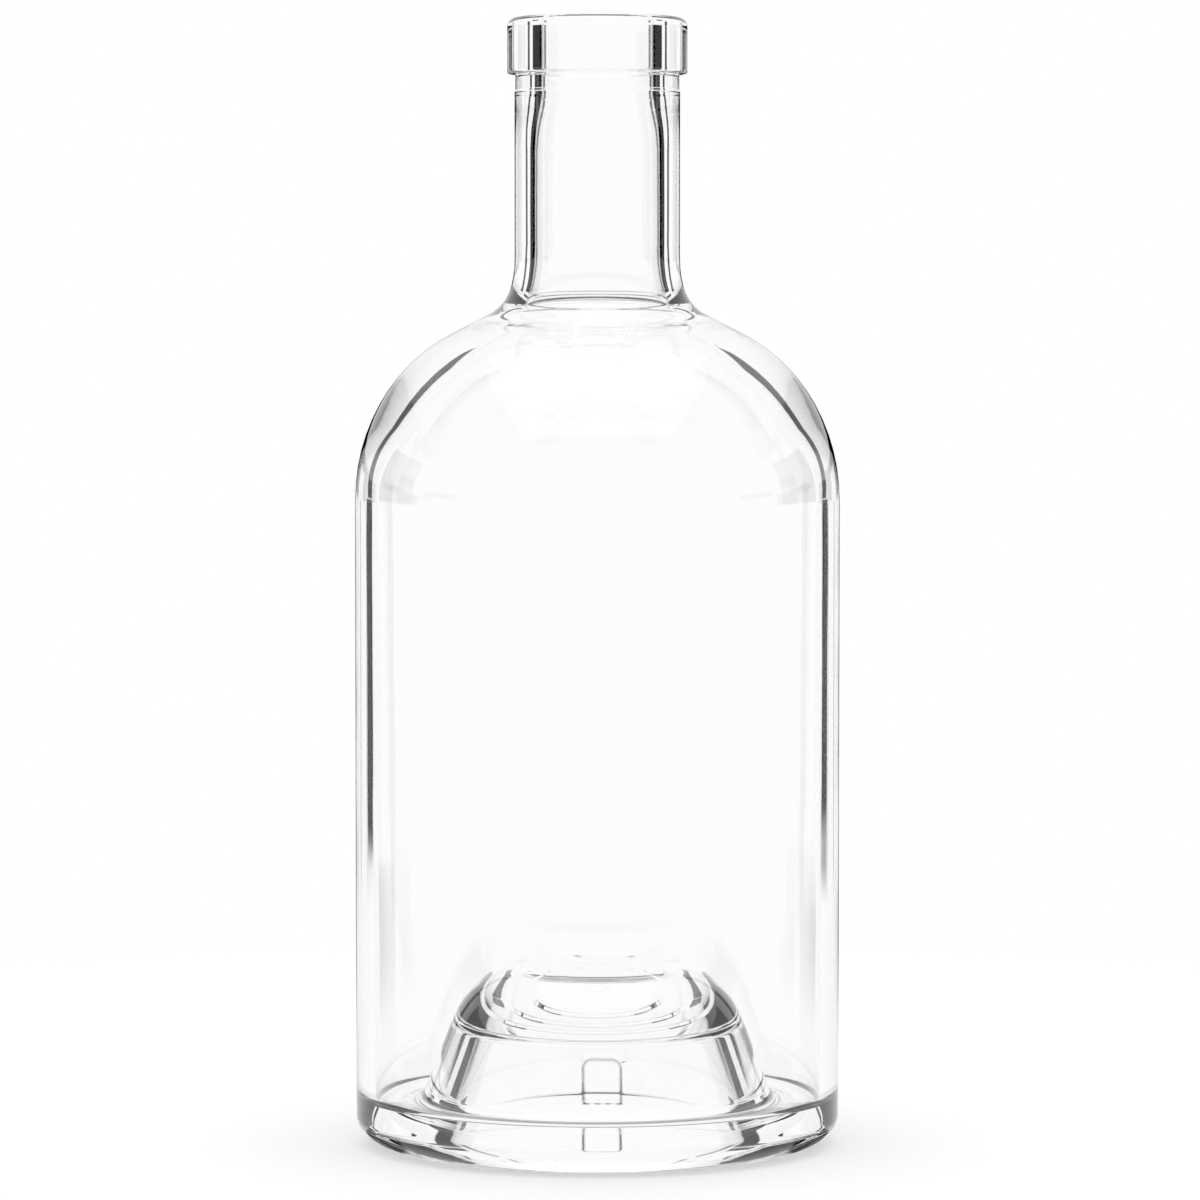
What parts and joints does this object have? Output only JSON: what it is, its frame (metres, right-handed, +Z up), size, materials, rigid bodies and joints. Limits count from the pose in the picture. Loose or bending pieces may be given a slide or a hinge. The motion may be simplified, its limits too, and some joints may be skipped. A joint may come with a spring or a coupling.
{
  "type": "glass bottle",
  "caption": "Clear glass spirits bottle with round shoulders, a straight neck, a plain collar with an open cork mouth and a deep push-up in its thick base; empty and without label or stopper.",
  "frame": {"origin": "centre of the bearing ring, in the plane that the bottle stands on", "axes": "+Z up along the bottle's axis to the mouth; +Y to the back, towards the index slot in the base's hollow, which lies 2 degrees from +Y on the +X side; +X to the right of one who looks along +Y"},
  "size_m": [0.091, 0.091, 0.2116],
  "materials": {
    "flint_glass": "clear polished glass, smooth outside, slightly wavy inside"
  },
  "bodies": {
    "root": {"bottle": "flint_glass"}
  },
  "joints": []
}
